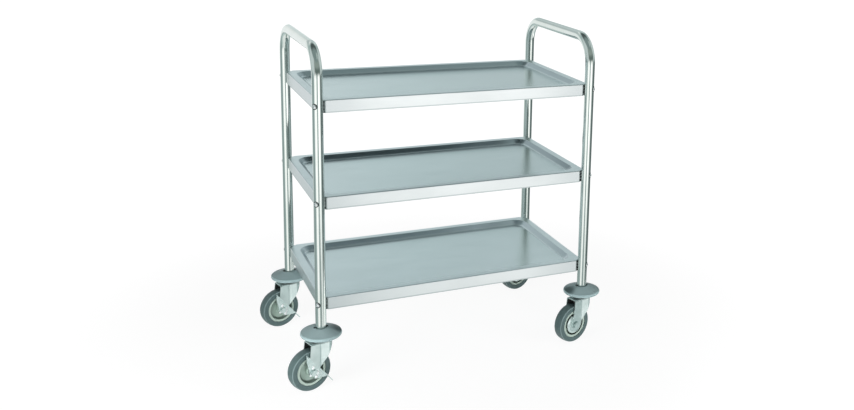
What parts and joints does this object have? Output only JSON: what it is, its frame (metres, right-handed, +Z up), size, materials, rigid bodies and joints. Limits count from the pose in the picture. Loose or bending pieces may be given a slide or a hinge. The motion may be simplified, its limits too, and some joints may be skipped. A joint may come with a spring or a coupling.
{
  "type": "service cart",
  "caption": "Stainless steel service cart: open trays with sunk wells between two bent tube end frames with handles, on swivel castors with bumper discs and side brakes.",
  "frame": {"origin": "on the floor under the middle of the cart's overall box, with the castors trailing towards -X as pictured", "axes": "+X along the trays towards the end without brakes, +Y from the front long side to the back, +Z up"},
  "size_m": [0.8139, 0.476, 0.8195],
  "materials": {
    "tube_steel": "satin",
    "tray_steel": "satin",
    "bolt_steel": "polished",
    "zinc_steel": "zinc plated",
    "race_steel": "dark plated",
    "dark_moulding": "matte",
    "bumper_rubber": "satin",
    "tyre_rubber": "matte",
    "rim_plastic": "satin"
  },
  "bodies": {
    "cart_frame": {"left_end_frame": "tube_steel", "right_end_frame": "tube_steel", "top_tray": "tray_steel", "middle_tray": "tray_steel", "bottom_tray": "tray_steel", "leg_saddles": "dark_moulding", "tray_bolts": "bolt_steel", "tray_washers": "bolt_steel", "tray_nuts": "bolt_steel", "leg_inserts": "dark_moulding", "front_left_bumper": "bumper_rubber", "front_left_castor_stem": "race_steel", "back_left_bumper": "bumper_rubber", "back_left_castor_stem": "race_steel", "front_right_bumper": "bumper_rubber", "front_right_castor_stem": "race_steel", "back_right_bumper": "bumper_rubber", "back_right_castor_stem": "race_steel"},
    "front_left_castor": {"front_left_fork": "zinc_steel", "front_left_swivel_bearing": "race_steel", "front_left_axle_bolt": "zinc_steel", "front_left_axle_nut": "zinc_steel", "front_left_axle_sleeve": "race_steel", "front_left_axle_washers": "zinc_steel", "front_left_brake_cam": "zinc_steel"},
    "front_left_wheel": {"front_left_tyre": "tyre_rubber", "front_left_rim": "rim_plastic", "front_left_bush": "dark_moulding"},
    "front_left_brake": {"front_left_brake_lever": "zinc_steel"},
    "back_left_castor": {"back_left_fork": "zinc_steel", "back_left_swivel_bearing": "race_steel", "back_left_axle_bolt": "zinc_steel", "back_left_axle_nut": "zinc_steel", "back_left_axle_sleeve": "race_steel", "back_left_axle_washers": "zinc_steel", "back_left_brake_cam": "zinc_steel"},
    "back_left_wheel": {"back_left_tyre": "tyre_rubber", "back_left_rim": "rim_plastic", "back_left_bush": "dark_moulding"},
    "back_left_brake": {"back_left_brake_lever": "zinc_steel"},
    "front_right_castor": {"front_right_fork": "zinc_steel", "front_right_swivel_bearing": "race_steel", "front_right_axle_bolt": "zinc_steel", "front_right_axle_nut": "zinc_steel", "front_right_axle_sleeve": "race_steel", "front_right_thread_guards": "zinc_steel"},
    "front_right_wheel": {"front_right_tyre": "tyre_rubber", "front_right_rim": "rim_plastic", "front_right_bush": "dark_moulding"},
    "back_right_castor": {"back_right_fork": "zinc_steel", "back_right_swivel_bearing": "race_steel", "back_right_axle_bolt": "zinc_steel", "back_right_axle_nut": "zinc_steel", "back_right_axle_sleeve": "race_steel", "back_right_thread_guards": "zinc_steel"},
    "back_right_wheel": {"back_right_tyre": "tyre_rubber", "back_right_rim": "rim_plastic", "back_right_bush": "dark_moulding"}
  },
  "joints": [
    {"name": "front_left_swivel", "type": "hinge", "parent": "cart_frame", "child": "front_left_castor", "pos_m": [-0.32619, -0.19, 0.12], "axis": [0, 0, 1], "continuous": true},
    {"name": "front_left_roll", "type": "hinge", "parent": "front_left_castor", "child": "front_left_wheel", "pos_m": [-0.35695, -0.19882, 0.05], "axis": [0.2756, -0.9613, 0], "continuous": true},
    {"name": "front_left_brake_release", "type": "hinge", "parent": "front_left_castor", "child": "front_left_brake", "pos_m": [-0.35695, -0.19882, 0.05], "axis": [0.2756, -0.9613, 0], "range_deg": [0, 45]},
    {"name": "back_left_swivel", "type": "hinge", "parent": "cart_frame", "child": "back_left_castor", "pos_m": [-0.32619, 0.19, 0.12], "axis": [0, 0, 1], "continuous": true},
    {"name": "back_left_roll", "type": "hinge", "parent": "back_left_castor", "child": "back_left_wheel", "pos_m": [-0.35695, 0.18118, 0.05], "axis": [0.2756, -0.9613, 0], "continuous": true},
    {"name": "back_left_brake_release", "type": "hinge", "parent": "back_left_castor", "child": "back_left_brake", "pos_m": [-0.35695, 0.18118, 0.05], "axis": [0.2756, -0.9613, 0], "range_deg": [0, 45]},
    {"name": "front_right_swivel", "type": "hinge", "parent": "cart_frame", "child": "front_right_castor", "pos_m": [0.35881, -0.19, 0.12], "axis": [0, 0, 1], "continuous": true},
    {"name": "front_right_roll", "type": "hinge", "parent": "front_right_castor", "child": "front_right_wheel", "pos_m": [0.32805, -0.19882, 0.05], "axis": [0.2756, -0.9613, 0], "continuous": true},
    {"name": "back_right_swivel", "type": "hinge", "parent": "cart_frame", "child": "back_right_castor", "pos_m": [0.35881, 0.19, 0.12], "axis": [0, 0, 1], "continuous": true},
    {"name": "back_right_roll", "type": "hinge", "parent": "back_right_castor", "child": "back_right_wheel", "pos_m": [0.32805, 0.18118, 0.05], "axis": [0.2756, -0.9613, 0], "continuous": true}
  ]
}
